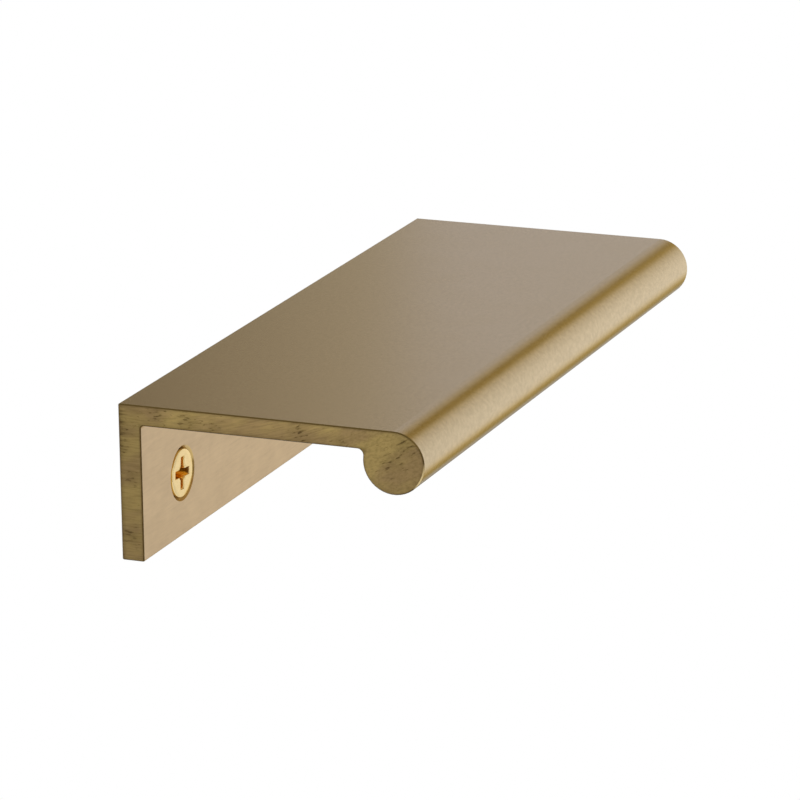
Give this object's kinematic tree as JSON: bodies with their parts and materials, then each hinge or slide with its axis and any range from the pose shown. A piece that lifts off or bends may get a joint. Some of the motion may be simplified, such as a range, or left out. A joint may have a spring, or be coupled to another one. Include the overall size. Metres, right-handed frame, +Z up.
{
  "type": "tab pull",
  "caption": "Brass tab pull cut from one extrusion: a flat plate with a round bead along its front edge and a flange at the back, fixed by countersunk wood screws.",
  "frame": {"origin": "on the mounting face, midway between the two fixing screws", "axes": "+X along the pull, +Y into the drawer front, +Z up; the bead is towards -Y"},
  "size_m": [0.1, 0.0455, 0.0202],
  "materials": {
    "satin_brass": "brushed satin, lacquered, with plain sawn ends",
    "polished_brass": "polished brass plating"
  },
  "bodies": {
    "root": {"pull": "satin_brass", "fixing_screws": "polished_brass"}
  },
  "joints": []
}
